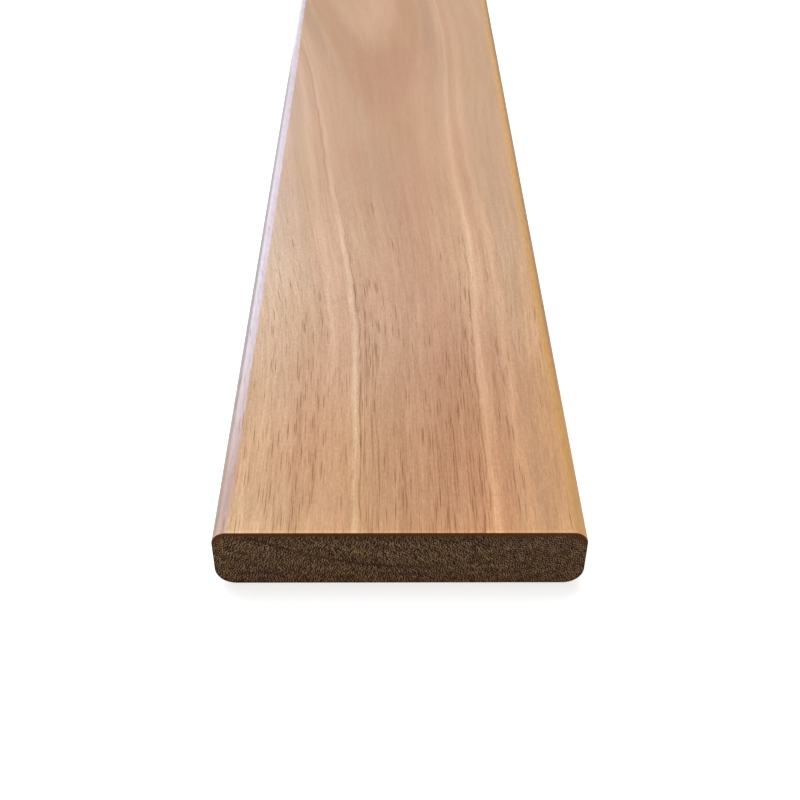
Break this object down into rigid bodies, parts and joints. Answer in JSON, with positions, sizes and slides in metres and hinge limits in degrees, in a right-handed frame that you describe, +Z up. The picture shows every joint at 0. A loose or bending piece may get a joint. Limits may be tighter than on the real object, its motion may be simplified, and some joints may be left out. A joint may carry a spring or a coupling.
{
  "type": "decking board",
  "caption": "Solid hardwood decking board, planed smooth, with eased long edges and square-sawn ends.",
  "frame": {"origin": "centre of the underside, on the surface that the board lies on", "axes": "+X across the board, +Y along its length, +Z up through its thickness to the walking face"},
  "size_m": [0.145, 1.83, 0.028],
  "materials": {
    "planed_hardwood": "planed and sanded, bare, satin"
  },
  "bodies": {
    "root": {"decking_board": "planed_hardwood"}
  },
  "joints": []
}
